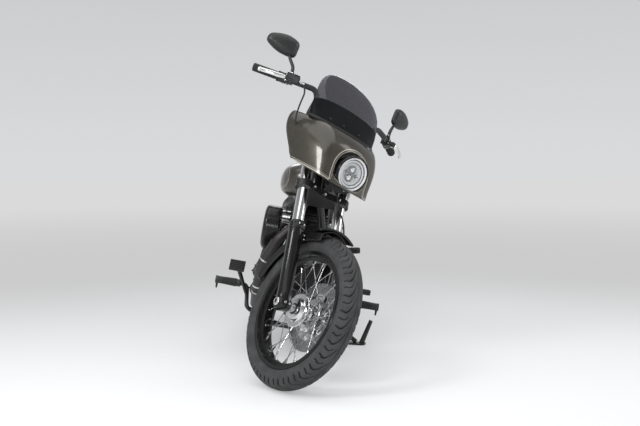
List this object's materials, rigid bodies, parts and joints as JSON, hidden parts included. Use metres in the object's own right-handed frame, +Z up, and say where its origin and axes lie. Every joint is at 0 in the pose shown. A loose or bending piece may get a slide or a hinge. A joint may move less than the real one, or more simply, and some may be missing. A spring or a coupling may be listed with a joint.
{
  "type": "cruiser motorcycle",
  "caption": "Mid-size V-twin cruiser motorcycle with quarter fairing, smoked shield and spoked wheels, parked on its side stand with the steering turned to the left stop.",
  "frame": {"origin": "on the floor, midway across the box of the parked motorcycle", "axes": "+X to the rider's left, +Y to the rear, +Z up; the motorcycle leans to +X on its side stand"},
  "size_m": [0.9656, 2.3122, 1.4893],
  "materials": {
    "black_metal": "satin",
    "frame_black": "gloss",
    "gloss_black": "gloss",
    "engine_black": "wrinkle",
    "exhaust_black": "satin",
    "olive_paint": "metallic gloss",
    "black_plastic": "matte",
    "chrome": "polished",
    "steel": "machined",
    "disc_steel": "brushed",
    "hub_alloy": "polished",
    "rim_black": "gloss black",
    "tyre": "matte",
    "belt_rubber": "matte",
    "grip_rubber": "matte",
    "hose_rubber": "matte",
    "headlight_glass": "polished",
    "lamp_red": "gloss",
    "plate_white": "matte",
    "seat_leather": "satin",
    "smoke_shield": "smoked"
  },
  "bodies": {
    "chassis": {"air_cleaner": "black_metal", "battery_tray": "black_plastic", "cylinders": "engine_black", "drive_belt": "belt_rubber", "engine_cases": "engine_black", "exhaust_headers": "exhaust_black", "fender_struts": "black_metal", "foot_controls": "black_metal", "foot_pegs": "black_metal", "frame": "frame_black", "fuel_tank": "olive_paint", "gearbox_pulley": "steel", "mufflers": "exhaust_black", "number_plate": "plate_white", "primary_cover": "engine_black", "rear_axle": "steel", "rear_caliper": "black_metal", "rear_fender": "olive_paint", "rear_lamps": "lamp_red", "seat": "seat_leather", "shocks": "black_metal", "side_covers": "black_metal", "swing_arm": "frame_black", "tank_console": "black_metal"},
    "steering": {"triple_clamps": "black_metal", "fork_tubes": "chrome", "fork_legs": "black_metal", "front_axle": "steel", "front_caliper": "black_metal", "front_fender": "gloss_black", "handlebar": "black_metal", "grips": "grip_rubber", "bar_controls": "black_metal", "levers": "chrome", "mirrors": "black_metal", "headlight": "headlight_glass", "fairing": "olive_paint", "fairing_brackets": "black_metal", "windshield": "smoke_shield", "brake_hose": "hose_rubber"},
    "front_wheel": {"front_tyre": "tyre", "front_rim": "rim_black", "front_hub": "hub_alloy", "front_disc": "disc_steel"},
    "rear_wheel": {"rear_tyre": "tyre", "rear_rim": "rim_black", "rear_hub": "hub_alloy", "rear_disc": "disc_steel", "rear_pulley": "black_metal"},
    "side_stand": {"side_stand": "black_metal"}
  },
  "joints": [
    {"name": "steering_turn", "type": "hinge", "parent": "chassis", "child": "steering", "pos_m": [-0.06972, -0.83093, 0.28888], "axis": [0.1564, 0.4787, 0.8639], "range_deg": [-76, 0]},
    {"name": "front_wheel_spin", "type": "hinge", "parent": "steering", "child": "front_wheel", "pos_m": [-0.0317, -0.86991, 0.3036], "axis": [0.7219, 0.5415, -0.4307], "continuous": true},
    {"name": "rear_wheel_spin", "type": "hinge", "parent": "chassis", "child": "rear_wheel", "pos_m": [-0.06537, 0.74953, 0.324], "axis": [0.9839, 0.0013, -0.1788], "continuous": true},
    {"name": "side_stand_fold", "type": "hinge", "parent": "chassis", "child": "side_stand", "pos_m": [0.0613, 0.02095, 0.12101], "axis": [0.5611, -0.0817, 0.8237], "range_deg": [0, 95]}
  ]
}
